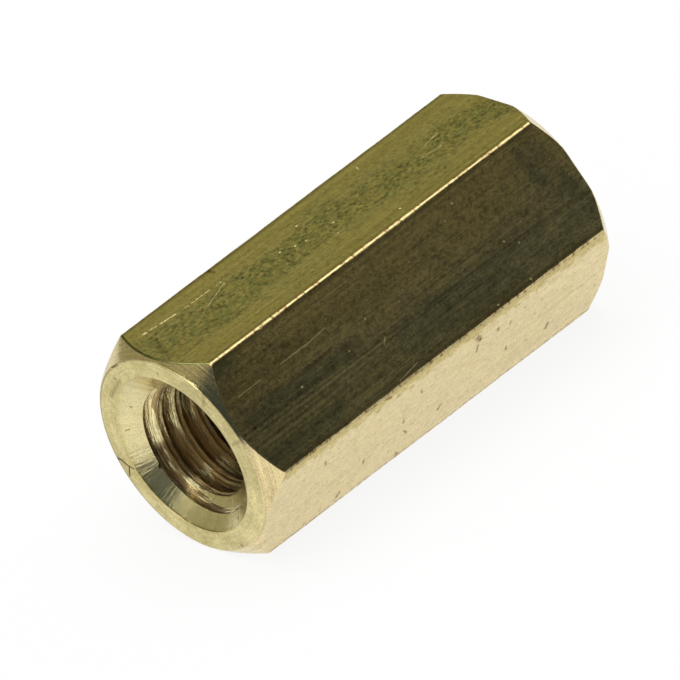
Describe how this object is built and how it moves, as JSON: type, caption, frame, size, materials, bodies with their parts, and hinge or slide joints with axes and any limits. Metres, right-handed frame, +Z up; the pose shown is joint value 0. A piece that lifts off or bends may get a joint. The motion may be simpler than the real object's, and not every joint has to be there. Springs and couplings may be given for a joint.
{
  "type": "hex standoff",
  "caption": "Female-to-female hex standoff in bare brass: a short hexagonal bar with turned, chamfered ends and a countersunk through thread that spaces a board from its base.",
  "frame": {"origin": "middle of the flat that the standoff rests on, halfway along its length", "axes": "+Z up out of the resting flat, +Y along the bar from the chamfered face end to the parted end, +X across two corners of the hexagon"},
  "size_m": [0.0052, 0.01, 0.0046],
  "materials": {
    "brass": "bare free-cutting brass: drawn flats with fine lengthwise streaks, turned ends with fine rings"
  },
  "bodies": {
    "root": {"standoff": "brass"}
  },
  "joints": []
}
